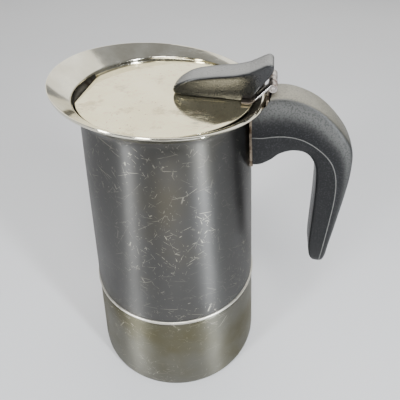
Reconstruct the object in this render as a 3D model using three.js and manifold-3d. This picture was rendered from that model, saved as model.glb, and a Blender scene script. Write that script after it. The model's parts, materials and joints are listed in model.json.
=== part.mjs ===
// Stovetop moka pot: boiler, funnel, seal pack, collector with handle, and hinged lid.
// Millimetres, +Z up. The origin is the centre of the underside, on the pot's own axis.
// The handle and the hinge lie towards +X, the pouring lip towards -X.

import * as THREE from 'three';
import { mergeVertices } from 'three/addons/utils/BufferGeometryUtils.js';
import Module from 'manifold-3d';

const wasm = await Module();
wasm.setup();

// ---- driving dimensions ----

const GAP = 0.3; // air left between pieces that touch
const WELD = 1e-4; // vertices closer than this are one vertex

const SHELL_SIDES = 60; // sides of the large turned shells
const INNER_SIDES = 40; // sides of the turned pieces inside
const SMALL_SIDES = 20; // sides of screws, pins and valve pieces

const BASE_RADIUS = 50; // outer radius of the wall, carried down to z = 0
const WALL_TAPER = 0.0745; // radius lost per millimetre of height
const BOILER_WALL = 1.2;
const BASE_DISC_RADIUS = 46.9;
const BASE_DISC_THICKNESS = 2.6;
const SHELL_UNDERSIDE = 0.6; // height of the boiler's lowest edge
const BOILER_TOP = 57.1; // height of the boiler's shoulder
const NECK_RADIUS = 36;
const NECK_TOP = 66.4;
const MOUTH_RADIUS = NECK_RADIUS - BOILER_WALL;

const VALVE_HEIGHT = 34; // height of the safety valve's axis, which runs along +Y
const VALVE_HOLE_RADIUS = 4.5;
const VALVE_THREAD_RADIUS = 4.1;
const VALVE_BORE_RADIUS = 2.5;
const VALVE_NOSE_Y = 58;
const PLUNGER_STEM_RADIUS = 0.9;

const FLANGE_Z = NECK_TOP + GAP; // underside of the funnel's flange
const FLANGE_RADIUS = 35.9;
const FLANGE_THICKNESS = 0.6;
const BASKET_RADIUS = 33.8;
const BASKET_WALL = 0.8;
const BASKET_BOTTOM = 43;
const STEM_RADIUS = 5.2;
const STEM_BORE_RADIUS = 4.2;
const STEM_BOTTOM = 7;

const GASKET_Z = FLANGE_Z + FLANGE_THICKNESS + GAP;
const GASKET_THICKNESS = 2.8;
const GASKET_RADIUS = 36;
const GASKET_HOLE_RADIUS = 27;
const FILTER_Z = GASKET_Z + GASKET_THICKNESS + GAP;
const PLATE_THICKNESS = 0.6;
const FILTER_RADIUS = 35.8;

const SEAM_Z = BOILER_TOP + GAP; // underside of the collector's bead
const SEAM_HEIGHT = 1.8;
const SEAM_RADIUS = 46.3;
const COLLECTOR_WALL = 1;
const COLLAR_RADIUS = 36.4; // bore of the threaded collar
const COLLAR_WALL = 1.8;
const FLOOR_Z = FILTER_Z + PLATE_THICKNESS + GAP;
const FLOOR_THICKNESS = 1;
const COLUMN_FOOT_Z = FLOOR_Z + FLOOR_THICKNESS + GAP;
const COLUMN_TOP = 130;
const COLUMN_BORE_RADIUS = 4;
const CAP_TOP = 137;

const BEND_Z = 130; // above this height the wall leans in a little more
const THROAT_Z = 160; // narrowest height, where the flare begins
const THROAT_RADIUS = 37.9;
const CREASE_Z = 166.6; // edge between the lid's seat and the flare
const CREASE_RADIUS = 39.7;
const CREASE_DROP = 2.2; // how much lower the crease lies on the hinge side
const RIM_Z = 170.2; // mean height of the rim
const RIM_RADIUS = 46.2; // mean radius of the rim before it is shaped
const RIM_HALF_LENGTH = 45.6; // rim ellipse along X
const RIM_HALF_WIDTH = 46.6; // rim ellipse along Y
const RIM_SHIFT = -3.05; // rim ellipse moved towards the lip
const RIM_TILT = 0.095; // height gained per millimetre towards the lip
const RIM_SHAPING_START = 164.5; // below this height the neck keeps its oval and tilt out
const DROP_START = 162; // below this height the crease's drop has no effect

const LID_RADIUS = 38.7;
const LID_Z = 164.8; // underside of the lid
const LID_THICKNESS = 0.7;
const LID_TOP = LID_Z + LID_THICKNESS;
const LID_FRONT_X = -35.6; // straight front edge that leaves the pouring gap

const HINGE_X = 46;
const HINGE_Z = 173.2;
const HINGE_HALF_WIDTH = 8;
const PIN_RADIUS = 0.9;
const KNUCKLE_BORE = 0.98;
const KNUCKLE_RADIUS = 1.8;
const KNUCKLE_HALF_WIDTH = 2.7; // half width of the middle knuckle
const LEAF_THICKNESS = 0.8;
const LEAF_START_X = 33.6;
const LEAF_BEND_X = 37.6; // where the leaf leaves the lid and starts to rise
const PAD_Z = LID_TOP + GAP; // underside of what sits on the lid

const BRACKET_HALF_WIDTH = 7.5;
const BRACKET_THICKNESS = 1.2;
const BRACKET_BOTTOM = 134.8;
const BRACKET_TOP = 161.5;
const HINGE_PLATE_X = 43.9;
const HINGE_PLATE_BOTTOM = 156;
const HINGE_PLATE_TOP = 168;

const HANDLE_HALF_WIDTH = 9.4;
const HANDLE_EDGE = 1.5; // rounding of the handle's long edges
const STUD_RADIUS = 1.6;
const STUD_LENGTH = 10;
const STUD_HEIGHTS = [142, 152];

const KNOB_HALF_WIDTH = 6.6;
const KNOB_EDGE = 1;
const KNOB_NOSE_X = 3.3;
const RIVET_RADIUS = 1.3;
const RIVET_HEAD_RADIUS = 3;
const RIVET_TOP = 170.5;
const RIVET_PLACES = [14, 29];

// ---- materials ----

function metal(color, roughness) {
  return new THREE.MeshStandardMaterial({ color, roughness, metalness: 1 });
}

function plain(color, roughness) {
  return new THREE.MeshStandardMaterial({ color, roughness, metalness: 0 });
}

const STEEL = 0xc4c3c0;
const BRASS = 0xb8934a;
const BLACK = 0x1b1c1f;
const RUBBER = 0xcfc9bd;

// ---- geometry helpers ----

// Welds shared vertices and drops the flat triangles that a lathe leaves on its axis.
function welded(geometry) {
  geometry.deleteAttribute('normal');
  geometry.deleteAttribute('uv');
  const merged = mergeVertices(geometry, WELD);
  const corners = merged.index.array;
  const kept = [];
  for (let i = 0; i < corners.length; i += 3) {
    const [a, b, c] = [corners[i], corners[i + 1], corners[i + 2]];
    if (a !== b && b !== c && c !== a) kept.push(a, b, c);
  }
  merged.setIndex(kept);
  return merged;
}

function toSolid(geometry) {
  const mesh = welded(geometry);
  const vertProperties = mesh.attributes.position.array;
  const triVerts = Uint32Array.from(mesh.index.array);
  return new wasm.Manifold(new wasm.Mesh({ numProp: 3, vertProperties, triVerts }));
}

function toGeometry(solid) {
  const { vertProperties, triVerts } = solid.getMesh();
  const geometry = new THREE.BufferGeometry();
  geometry.setAttribute('position', new THREE.BufferAttribute(vertProperties, 3));
  geometry.setIndex(Array.from(triVerts));
  return geometry;
}

function subtract(geometry, ...cutters) {
  return toGeometry(cutters.reduce((body, cutter) => body.subtract(toSolid(cutter)), toSolid(geometry)));
}

function unite(geometry, ...others) {
  return toGeometry(others.reduce((body, other) => body.add(toSolid(other)), toSolid(geometry)));
}

function intersect(geometry, other) {
  return toGeometry(toSolid(geometry).intersect(toSolid(other)));
}

// Turns a profile of [radius, height] pairs about +Z. Pairs run up the outside and back down inside.
function turned(profile, sides) {
  const points = profile.map(([radius, height]) => new THREE.Vector2(radius, height));
  return new THREE.LatheGeometry(points, sides).rotateX(Math.PI / 2);
}

// Turned ring: the profile closes on itself.
function turnedRing(profile, sides) {
  return turned([...profile, profile[0]], sides);
}

function rod(radius, z0, z1, sides = SMALL_SIDES) {
  return turned([[0, z0], [radius, z0], [radius, z1], [0, z1]], sides);
}

function alongX(geometry, z) {
  return geometry.rotateY(Math.PI / 2).translate(0, 0, z);
}

function alongY(geometry, z) {
  return geometry.rotateX(-Math.PI / 2).translate(0, 0, z);
}

function box([x0, y0, z0], [x1, y1, z1]) {
  const block = new THREE.BoxGeometry(x1 - x0, y1 - y0, z1 - z0);
  return block.translate((x0 + x1) / 2, (y0 + y1) / 2, (z0 + z1) / 2);
}

// A flat outline in x and y, from z0 to z1.
function slab(shape, z0, z1, curveSegments = 12) {
  const options = { depth: z1 - z0, bevelEnabled: false, curveSegments };
  return new THREE.ExtrudeGeometry(shape, options).translate(0, 0, z0);
}

// A side outline in x and z, from y0 to y1, with its long edges rounded by edge.
function sidePlate(shape, y0, y1, edge = 0, curveSegments = 12) {
  const geometry = new THREE.ExtrudeGeometry(shape, {
    depth: y1 - y0 - 2 * edge,
    bevelEnabled: edge > 0,
    bevelThickness: edge,
    bevelSize: edge,
    bevelOffset: -edge,
    bevelSegments: 3,
    curveSegments,
  });
  return geometry.rotateX(Math.PI / 2).translate(0, y1 - edge, 0);
}

function polygonPath(x, y, radius, sides) {
  const path = new THREE.Path();
  for (let i = 0; i < sides; i += 1) {
    const angle = (-2 * Math.PI * i) / sides;
    const corner = [x + radius * Math.cos(angle), y + radius * Math.sin(angle)];
    if (i === 0) path.moveTo(...corner);
    else path.lineTo(...corner);
  }
  return path;
}

// Disc with rings of small holes round its centre.
function perforatedDisc(radius, z0, z1, rings, ringStep, holeRadius) {
  const shape = new THREE.Shape();
  shape.absarc(0, 0, radius, 0, 2 * Math.PI);
  for (let ring = 1; ring <= rings; ring += 1) {
    const count = 6 * ring;
    for (let i = 0; i < count; i += 1) {
      const angle = (2 * Math.PI * i) / count;
      const [x, y] = [ring * ringStep * Math.cos(angle), ring * ringStep * Math.sin(angle)];
      shape.holes.push(polygonPath(x, y, holeRadius, 6));
    }
  }
  return slab(shape, z0, z1, INNER_SIDES / 2);
}

// ---- the pot's outer form ----

function wallRadius(z) {
  if (z <= BEND_Z) return BASE_RADIUS - WALL_TAPER * z;
  const bendRadius = BASE_RADIUS - WALL_TAPER * BEND_Z;
  const lean = (bendRadius - THROAT_RADIUS) / (THROAT_Z - BEND_Z);
  return bendRadius - lean * (Math.min(z, THROAT_Z) - BEND_Z);
}

// How far a point of the neck sinks on the hinge side: most at the crease, nothing at the rim.
function creaseDrop(x, z) {
  const below = (z - DROP_START) / (CREASE_Z - DROP_START);
  const above = (RIM_Z - z) / (RIM_Z - CREASE_Z);
  const nearness = Math.max(0, Math.min(1, below, above));
  return CREASE_DROP * nearness * (Math.max(0, x) / CREASE_RADIUS) ** 2;
}

// Turns the round flare into the tilted oval rim with its pouring lip.
function shapeRim(geometry) {
  const position = geometry.attributes.position;
  for (let i = 0; i < position.count; i += 1) {
    const [x, y, z] = [position.getX(i), position.getY(i), position.getZ(i)];
    const rise = Math.max(0, z - RIM_SHAPING_START) / (RIM_Z - RIM_SHAPING_START);
    const share = Math.min(1, rise) ** 2.2;
    const shapedX = x * (1 + share * (RIM_HALF_LENGTH / RIM_RADIUS - 1)) + share * RIM_SHIFT;
    const shapedY = y * (1 + share * (RIM_HALF_WIDTH / RIM_RADIUS - 1));
    position.setXYZ(i, shapedX, shapedY, z - share * RIM_TILT * shapedX - creaseDrop(x, z));
  }
  return geometry;
}

// Outside of the flare, from the throat to the rim's edge, moved out by an offset.
function flareOutside(offset) {
  return [
    [THROAT_RADIUS + offset, THROAT_Z],
    [38.6 + offset, 162.3],
    [40.6 + offset, 165.0],
    [42.8 + offset, 166.9],
    [RIM_RADIUS + offset, RIM_Z - 1.1],
  ];
}

// ---- boiler ----

function boilerShell() {
  const wall = BOILER_WALL;
  const plateZ = BASE_DISC_THICKNESS + GAP;
  const shell = turned([
    [0, plateZ],
    [BASE_DISC_RADIUS + GAP, plateZ],
    [BASE_DISC_RADIUS + GAP, SHELL_UNDERSIDE],
    [48.6, SHELL_UNDERSIDE],
    [49.5, 1.2],
    [wallRadius(2.8), 2.8],
    [wallRadius(BOILER_TOP - 1.5), BOILER_TOP - 1.5],
    [wallRadius(BOILER_TOP) - 0.5, BOILER_TOP - 0.4],
    [wallRadius(BOILER_TOP) - 1.6, BOILER_TOP],
    [NECK_RADIUS, BOILER_TOP],
    [NECK_RADIUS, NECK_TOP],
    [MOUTH_RADIUS, NECK_TOP],
    [MOUTH_RADIUS, BOILER_TOP - wall],
    [wallRadius(BOILER_TOP) - 1.6 - wall, BOILER_TOP - wall],
    [wallRadius(BOILER_TOP) - wall, BOILER_TOP - wall - 1.5],
    [wallRadius(8) - wall, 8],
    [wallRadius(0) - wall - 3, plateZ + wall],
    [0, plateZ + wall],
  ], SHELL_SIDES);
  return subtract(shell, alongY(rod(VALVE_HOLE_RADIUS, 40, 52), VALVE_HEIGHT));
}

function boilerBaseDisc() {
  return turned([
    [0, 0],
    [BASE_DISC_RADIUS - 0.6, 0],
    [BASE_DISC_RADIUS, 0.6],
    [BASE_DISC_RADIUS, BASE_DISC_THICKNESS],
    [0, BASE_DISC_THICKNESS],
  ], SHELL_SIDES);
}

function valveBody() {
  const thread = turnedRing([
    [1.2, 41.5],
    [VALVE_THREAD_RADIUS, 41.5],
    [VALVE_THREAD_RADIUS, 49.6],
    [6.2, 49.6],
    [6.2, 53.6],
    [4.2, 54.6],
    [4.2, VALVE_NOSE_Y],
    [1.3, VALVE_NOSE_Y],
    [1.3, VALVE_NOSE_Y - 1.6],
    [VALVE_BORE_RADIUS, VALVE_NOSE_Y - 1.6],
    [VALVE_BORE_RADIUS, 44.8],
    [1.2, 44.8],
  ], SMALL_SIDES);
  return alongY(thread, VALVE_HEIGHT);
}

function hexagonRing(radius, bore, y0, y1) {
  const shape = new THREE.Shape(polygonPath(0, 0, radius, 6).getPoints().reverse());
  shape.holes.push(polygonPath(0, 0, bore, SMALL_SIDES));
  return alongY(slab(shape, y0, y1), VALVE_HEIGHT);
}

function valveNut() {
  return hexagonRing(6.6, VALVE_THREAD_RADIUS + GAP, 42.2, 45);
}

function valveWasher() {
  const ring = turnedRing([
    [VALVE_THREAD_RADIUS + GAP, 48],
    [6.4, 48],
    [6.4, 49.2],
    [VALVE_THREAD_RADIUS + GAP, 49.2],
  ], SMALL_SIDES);
  return alongY(ring, VALVE_HEIGHT);
}

function valvePlunger() {
  return alongY(turned([
    [0, 45.2],
    [2.1, 45.2],
    [2.1, 46.4],
    [PLUNGER_STEM_RADIUS, 46.8],
    [PLUNGER_STEM_RADIUS, 58.8],
    [0, 59.2],
  ], SMALL_SIDES), VALVE_HEIGHT);
}

class Helix extends THREE.Curve {
  constructor(radius, start, length, turns) {
    super();
    Object.assign(this, { radius, start, length, turns });
  }

  getPoint(t, target = new THREE.Vector3()) {
    const angle = 2 * Math.PI * this.turns * t;
    const z = this.start + this.length * t;
    return target.set(this.radius * Math.cos(angle), this.radius * Math.sin(angle), z);
  }
}

function valveSpring() {
  const wireRadius = 0.32;
  const turns = 6;
  const path = new Helix(1.7, 47.2, 8.6, turns);
  const section = new THREE.Shape(polygonPath(0, 0, wireRadius, 6).getPoints());
  const options = { steps: turns * 12, bevelEnabled: false, extrudePath: path };
  return alongY(new THREE.ExtrudeGeometry(section, options), VALVE_HEIGHT);
}

// ---- funnel ----

function funnelBasket() {
  const inside = BASKET_RADIUS - BASKET_WALL;
  return turnedRing([
    [STEM_BORE_RADIUS, BASKET_BOTTOM],
    [BASKET_RADIUS - 1.2, BASKET_BOTTOM],
    [BASKET_RADIUS, BASKET_BOTTOM + 1.2],
    [BASKET_RADIUS, FLANGE_Z],
    [FLANGE_RADIUS, FLANGE_Z],
    [FLANGE_RADIUS, FLANGE_Z + FLANGE_THICKNESS],
    [inside, FLANGE_Z + FLANGE_THICKNESS],
    [inside, BASKET_BOTTOM + BASKET_WALL],
    [STEM_BORE_RADIUS, BASKET_BOTTOM + BASKET_WALL],
  ], INNER_SIDES);
}

function funnelStem() {
  const top = BASKET_BOTTOM - GAP;
  return turnedRing([
    [STEM_BORE_RADIUS, STEM_BOTTOM],
    [STEM_RADIUS, STEM_BOTTOM],
    [STEM_RADIUS, top - 3],
    [STEM_RADIUS + 5, top],
    [STEM_BORE_RADIUS, top],
  ], SMALL_SIDES);
}

function funnelStrainer() {
  const z = BASKET_BOTTOM + BASKET_WALL + GAP;
  return perforatedDisc(BASKET_RADIUS - BASKET_WALL - GAP, z, z + PLATE_THICKNESS, 3, 7.5, 0.9);
}

// ---- seal pack ----

function gasketRing() {
  return turnedRing([
    [GASKET_HOLE_RADIUS, GASKET_Z],
    [GASKET_RADIUS, GASKET_Z],
    [GASKET_RADIUS, GASKET_Z + GASKET_THICKNESS],
    [GASKET_HOLE_RADIUS, GASKET_Z + GASKET_THICKNESS],
  ], INNER_SIDES);
}

function filterPlate() {
  return perforatedDisc(FILTER_RADIUS, FILTER_Z, FILTER_Z + PLATE_THICKNESS, 3, 7.2, 0.9);
}

// ---- collector ----

function collectorBody() {
  const wall = COLLECTOR_WALL;
  const bottom = SEAM_Z + SEAM_HEIGHT + GAP;
  const body = turnedRing([
    [wallRadius(bottom), bottom],
    [wallRadius(BEND_Z), BEND_Z],
    ...flareOutside(0),
    [RIM_RADIUS + 0.1, RIM_Z - 0.3],
    [RIM_RADIUS - 0.5, RIM_Z],
    [42.5, RIM_Z - 1.9],
    [CREASE_RADIUS, CREASE_Z],
    [39.3, LID_Z + 0.1],
    [37.7, 162.7],
    [THROAT_RADIUS - wall, THROAT_Z],
    [wallRadius(BEND_Z) - wall, BEND_Z],
    [wallRadius(bottom) - wall, bottom],
  ], SHELL_SIDES);
  return shapeRim(body);
}

function seamRing() {
  return turnedRing([
    [44, SEAM_Z],
    [SEAM_RADIUS - 0.5, SEAM_Z],
    [SEAM_RADIUS, SEAM_Z + 0.5],
    [SEAM_RADIUS, SEAM_Z + SEAM_HEIGHT - 0.5],
    [SEAM_RADIUS - 0.5, SEAM_Z + SEAM_HEIGHT],
    [44, SEAM_Z + SEAM_HEIGHT],
  ], SHELL_SIDES);
}

function threadedCollar() {
  const outside = COLLAR_RADIUS + COLLAR_WALL;
  const flangeZ = SEAM_Z + 0.5;
  return turnedRing([
    [COLLAR_RADIUS, flangeZ],
    [43.6, flangeZ],
    [43.6, flangeZ + 1],
    [outside, flangeZ + 1],
    [outside, FLOOR_Z - GAP],
    [COLLAR_RADIUS, FLOOR_Z - GAP],
  ], INNER_SIDES);
}

function collectorFloor() {
  const edge = wallRadius(FLOOR_Z) - COLLECTOR_WALL - GAP - 0.2;
  return turnedRing([
    [COLUMN_BORE_RADIUS + 0.4, FLOOR_Z],
    [edge, FLOOR_Z],
    [edge, FLOOR_Z + FLOOR_THICKNESS],
    [COLUMN_BORE_RADIUS + 0.4, FLOOR_Z + FLOOR_THICKNESS],
  ], INNER_SIDES);
}

function coffeeColumn() {
  return turnedRing([
    [COLUMN_BORE_RADIUS, COLUMN_FOOT_Z],
    [11, COLUMN_FOOT_Z],
    [11, COLUMN_FOOT_Z + 1],
    [7.6, COLUMN_FOOT_Z + 4],
    [5.2, COLUMN_TOP],
    [COLUMN_BORE_RADIUS, COLUMN_TOP],
  ], SMALL_SIDES);
}

function columnCap() {
  const bore = 5.2 + GAP + 0.2;
  const cap = turned([
    [0, CAP_TOP - 1],
    [bore, CAP_TOP - 2.2],
    [bore, COLUMN_TOP - 4],
    [bore + 1.1, COLUMN_TOP - 4],
    [bore + 1.5, COLUMN_TOP + 2],
    [bore + 0.4, CAP_TOP - 1],
    [2.5, CAP_TOP],
    [0, CAP_TOP],
  ], SMALL_SIDES);
  return subtract(cap, alongY(rod(2, -12, 12, 12), COLUMN_TOP + 2.6));
}

// Solid of the wall and flare, moved out by a clearance, for cutting what stands behind it.
function wallEnvelope(clearance) {
  return shapeRim(turned([
    [0, 120],
    [wallRadius(120) + clearance, 120],
    [wallRadius(BEND_Z) + clearance, BEND_Z],
    ...flareOutside(clearance),
    [RIM_RADIUS + 0.1 + clearance, RIM_Z + clearance],
    [0, RIM_Z + clearance],
  ], SHELL_SIDES));
}

function handleBracket() {
  const strip = box([0, -BRACKET_HALF_WIDTH, BRACKET_BOTTOM], [60, BRACKET_HALF_WIDTH, BRACKET_TOP]);
  const outer = intersect(strip, wallEnvelope(GAP + BRACKET_THICKNESS));
  return subtract(outer, wallEnvelope(GAP));
}

function hingeRing(radius, y0, y1) {
  const ring = new THREE.Shape();
  ring.absarc(HINGE_X, HINGE_Z, radius, 0, 2 * Math.PI);
  return sidePlate(ring, y0, y1, 0, 10);
}

function hingeBore(y0, y1) {
  return hingeRing(KNUCKLE_BORE, y0, y1);
}

function hingeBracket() {
  const plate = box(
    [HINGE_PLATE_X, -BRACKET_HALF_WIDTH, HINGE_PLATE_BOTTOM],
    [HINGE_PLATE_X + BRACKET_THICKNESS, BRACKET_HALF_WIDTH, HINGE_PLATE_TOP],
  );
  const arm = new THREE.Shape();
  arm.moveTo(HINGE_PLATE_X, HINGE_PLATE_TOP - 1);
  arm.lineTo(HINGE_PLATE_X + BRACKET_THICKNESS, HINGE_PLATE_TOP - 1);
  arm.lineTo(HINGE_PLATE_X + BRACKET_THICKNESS, HINGE_Z - 2.6);
  arm.lineTo(HINGE_X + 0.8, HINGE_Z - 1.5);
  arm.lineTo(HINGE_X - 0.8, HINGE_Z);
  arm.lineTo(HINGE_PLATE_X, HINGE_Z - 1.6);
  const half = KNUCKLE_HALF_WIDTH;
  const body = unite(plate, sidePlate(arm, -half, half), hingeRing(KNUCKLE_RADIUS, -half, half));
  return subtract(body, hingeBore(-half - 1, half + 1));
}

function hingePin() {
  const end = HINGE_HALF_WIDTH + 0.5;
  return rod(PIN_RADIUS, -end, end).rotateX(-Math.PI / 2).translate(HINGE_X, 0, HINGE_Z);
}

function handleOutline() {
  const shape = new THREE.Shape();
  shape.moveTo(38, 136);
  shape.lineTo(44, 136.2);
  shape.bezierCurveTo(47.5, 136.4, 50.5, 145.2, 57.7, 145.3);
  shape.bezierCurveTo(65.5, 145.3, 69.2, 138.5, 70.2, 129);
  shape.lineTo(73.6, 88);
  shape.bezierCurveTo(74.3, 79.5, 75.5, 75.6, 79.6, 75.5);
  shape.bezierCurveTo(83, 75.5, 83.5, 79, 83.7, 86);
  shape.bezierCurveTo(84, 98, 85, 110, 85.2, 122);
  shape.bezierCurveTo(85.3, 143, 82.5, 151.5, 72.6, 160.2);
  shape.bezierCurveTo(67.2, 165.2, 60, 169.8, 49.5, 169.8);
  shape.lineTo(46.4, 169.6);
  shape.lineTo(44.8, 168);
  shape.lineTo(38, 166);
  return shape;
}

function handle() {
  const grip = sidePlate(handleOutline(), -HANDLE_HALF_WIDTH, HANDLE_HALF_WIDTH, HANDLE_EDGE, 8);
  const slot = box(
    [HINGE_PLATE_X - 4, -BRACKET_HALF_WIDTH - GAP, HINGE_PLATE_BOTTOM - GAP],
    [HINGE_PLATE_X + BRACKET_THICKNESS + GAP, BRACKET_HALF_WIDTH + GAP, 175],
  );
  const holes = STUD_HEIGHTS.map((z) => alongX(rod(STUD_RADIUS + GAP, 30, studEnd(z) + GAP, 12), z));
  return subtract(grip, wallEnvelope(2 * GAP + BRACKET_THICKNESS), slot, ...holes);
}

function studStart(z) {
  return wallRadius(z) + 2 * GAP + BRACKET_THICKNESS;
}

function studEnd(z) {
  return studStart(z) + STUD_LENGTH;
}

function handleStud(z) {
  return alongX(rod(STUD_RADIUS, studStart(z), studEnd(z), 12), z);
}

// ---- lid ----

function lidDisc() {
  const halfAngle = Math.acos(-LID_FRONT_X / LID_RADIUS);
  const shape = new THREE.Shape();
  shape.absarc(0, 0, LID_RADIUS, -Math.PI + halfAngle, Math.PI - halfAngle);
  for (const x of RIVET_PLACES) shape.holes.push(polygonPath(x, 0, RIVET_RADIUS + GAP, 12));
  return slab(shape, LID_Z, LID_TOP, 52);
}

// Run and rise from the leaf's upper bend to the hinge's axis.
function leafReach() {
  return [HINGE_X - LEAF_BEND_X, HINGE_Z - PAD_Z - LEAF_THICKNESS];
}

// Angle at which the leaf rises from the lid's edge to run over the top of its knuckles.
function leafSlope() {
  const [run, rise] = leafReach();
  return Math.atan2(rise, run) + Math.asin(KNUCKLE_RADIUS / Math.hypot(run, rise));
}

// Leaf on the lid's rear edge that rises behind the knob and curls over the pin.
function lidHingeLeaf() {
  const slope = leafSlope();
  const length = Math.sqrt(Math.hypot(...leafReach()) ** 2 - KNUCKLE_RADIUS ** 2);
  const leafTop = PAD_Z + LEAF_THICKNESS;
  const [endX, endZ] = [LEAF_BEND_X + length * Math.cos(slope), leafTop + length * Math.sin(slope)];
  const shape = new THREE.Shape();
  shape.moveTo(LEAF_START_X, PAD_Z);
  shape.lineTo(LEAF_BEND_X + LEAF_THICKNESS * Math.tan(slope / 2), PAD_Z);
  shape.lineTo(endX + LEAF_THICKNESS * Math.sin(slope), endZ - LEAF_THICKNESS * Math.cos(slope));
  shape.lineTo(endX, endZ);
  shape.lineTo(LEAF_BEND_X, leafTop);
  shape.lineTo(LEAF_START_X, leafTop);
  const half = HINGE_HALF_WIDTH;
  const inner = KNUCKLE_HALF_WIDTH + GAP;
  const body = unite(sidePlate(shape, -half, half), hingeRing(KNUCKLE_RADIUS, -half, half));
  const middle = box([HINGE_PLATE_X - 2 * GAP, -inner, LID_Z], [60, inner, 180]);
  return subtract(body, hingeBore(-half - 1, half + 1), middle);
}

function knobSide() {
  const shape = new THREE.Shape();
  const recessTop = PAD_Z + LEAF_THICKNESS + GAP;
  shape.moveTo(KNOB_NOSE_X + 0.6, PAD_Z);
  shape.lineTo(LEAF_START_X - GAP, PAD_Z);
  shape.lineTo(LEAF_START_X - GAP, recessTop);
  shape.lineTo(LEAF_BEND_X - 0.6, recessTop);
  shape.lineTo(38.2, 168);
  shape.lineTo(45.4, 178.5);
  shape.bezierCurveTo(46, 179.6, 46.2, 183.6, 43.1, 182.4);
  shape.bezierCurveTo(39.2, 180.4, 35.8, 177.9, 24, 176.9);
  shape.bezierCurveTo(13, 175.9, 5.5, 172.6, KNOB_NOSE_X, 168.2);
  shape.lineTo(KNOB_NOSE_X + 0.6, PAD_Z);
  return shape;
}

function knobPlan() {
  const shape = new THREE.Shape();
  shape.moveTo(50, -KNOB_HALF_WIDTH);
  shape.lineTo(50, KNOB_HALF_WIDTH);
  shape.lineTo(16, KNOB_HALF_WIDTH);
  shape.bezierCurveTo(9, KNOB_HALF_WIDTH, KNOB_NOSE_X, 4, KNOB_NOSE_X, 0);
  shape.bezierCurveTo(KNOB_NOSE_X, -4, 9, -KNOB_HALF_WIDTH, 16, -KNOB_HALF_WIDTH);
  shape.lineTo(50, -KNOB_HALF_WIDTH);
  return shape;
}

function lidKnob() {
  const profile = sidePlate(knobSide(), -KNOB_HALF_WIDTH, KNOB_HALF_WIDTH, KNOB_EDGE, 8);
  const body = intersect(profile, slab(knobPlan(), LID_Z, 190, 6));
  const holes = RIVET_PLACES.map((x) => rod(RIVET_RADIUS + GAP, LID_Z, RIVET_TOP + GAP, 12).translate(x, 0, 0));
  return subtract(body, ...holes);
}

function knobRivet(x) {
  const headTop = LID_Z - GAP;
  return turned([
    [0, headTop - 0.9],
    [RIVET_HEAD_RADIUS - 0.8, headTop - 0.9],
    [RIVET_HEAD_RADIUS, headTop - 0.3],
    [RIVET_HEAD_RADIUS, headTop],
    [RIVET_RADIUS, headTop],
    [RIVET_RADIUS, RIVET_TOP],
    [0, RIVET_TOP],
  ], 12).translate(x, 0, 0);
}

// ---- assembly ----

const pot = new THREE.Group();

function place(name, geometry, material) {
  const finished = welded(geometry);
  finished.computeVertexNormals();
  const mesh = new THREE.Mesh(finished, material);
  mesh.name = name;
  pot.add(mesh);
}

place('boiler_shell', boilerShell(), metal(STEEL, 0.15));
place('boiler_base_disc', boilerBaseDisc(), metal(STEEL, 0.35));
place('valve_body', valveBody(), metal(BRASS, 0.3));
place('valve_nut', valveNut(), metal(BRASS, 0.35));
place('valve_washer', valveWasher(), plain(RUBBER, 0.7));
place('valve_spring', valveSpring(), metal(STEEL, 0.3));
place('valve_plunger', valvePlunger(), metal(BRASS, 0.3));

place('funnel_basket', funnelBasket(), metal(STEEL, 0.3));
place('funnel_stem', funnelStem(), metal(STEEL, 0.3));
place('funnel_strainer', funnelStrainer(), metal(STEEL, 0.35));

place('gasket_ring', gasketRing(), plain(RUBBER, 0.6));
place('filter_plate', filterPlate(), metal(STEEL, 0.35));

place('collector_body', collectorBody(), metal(STEEL, 0.12));
place('seam_ring', seamRing(), metal(STEEL, 0.15));
place('threaded_collar', threadedCollar(), metal(STEEL, 0.3));
place('collector_floor', collectorFloor(), metal(STEEL, 0.25));
place('coffee_column', coffeeColumn(), metal(STEEL, 0.25));
place('column_cap', columnCap(), metal(STEEL, 0.25));
place('handle_bracket', handleBracket(), metal(STEEL, 0.35));
place('hinge_bracket', hingeBracket(), metal(STEEL, 0.35));
place('hinge_pin', hingePin(), metal(STEEL, 0.3));
place('handle', handle(), plain(BLACK, 0.55));
STUD_HEIGHTS.forEach((z, i) => place(`handle_stud_${i + 1}`, handleStud(z), metal(STEEL, 0.35)));

place('lid_disc', lidDisc(), metal(STEEL, 0.1));
place('lid_hinge_leaf', lidHingeLeaf(), metal(STEEL, 0.3));
place('lid_knob', lidKnob(), plain(BLACK, 0.35));
RIVET_PLACES.forEach((x, i) => place(`knob_rivet_${i + 1}`, knobRivet(x), metal(STEEL, 0.35)));

export default pot;
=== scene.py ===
"""Looks of a stovetop moka pot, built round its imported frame.

Lengths in the tables are millimetres and become metres when a mesh is made.
+Z is up, the handle and hinge lie towards +X, the pouring lip towards -X.
"""

import json
import math

import bmesh
import bpy
from mathutils import Matrix, Vector

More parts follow.
